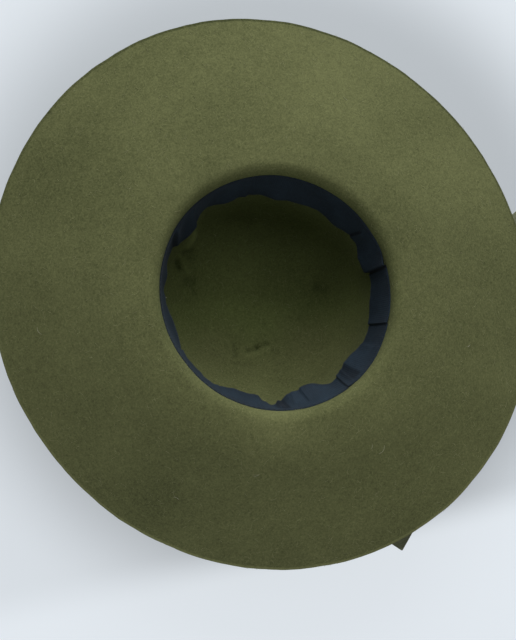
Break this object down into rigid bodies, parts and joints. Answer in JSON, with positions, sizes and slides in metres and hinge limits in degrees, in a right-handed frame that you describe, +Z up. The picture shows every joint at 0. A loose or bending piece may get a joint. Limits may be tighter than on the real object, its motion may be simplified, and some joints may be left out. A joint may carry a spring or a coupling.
{
  "type": "felt sun hat",
  "caption": "Floppy wide-brimmed felt hat with a round crown, a loose sweatband inside and a knotted ribbon with two long ends, lying upside down on its crown.",
  "frame": {"origin": "centre of the small flat on the crown's tip, where the upturned hat rests", "axes": "+Z up, out of the head opening; Y along the opening's long axis, front to back"},
  "size_m": [0.4871, 0.4723, 0.11],
  "materials": {
    "felt": "olive wool felt, matt, with a short nap",
    "sweatband_ribbon": "navy grosgrain ribbon, fine ribs across it",
    "outer_ribbon": "olive grey grosgrain ribbon, fine ribs across it"
  },
  "bodies": {
    "root": {"hat_body": "felt", "sweatband": "sweatband_ribbon", "hat_band": "outer_ribbon", "band_knot": "outer_ribbon", "band_tail_a": "outer_ribbon", "band_tail_b": "outer_ribbon"}
  },
  "joints": []
}
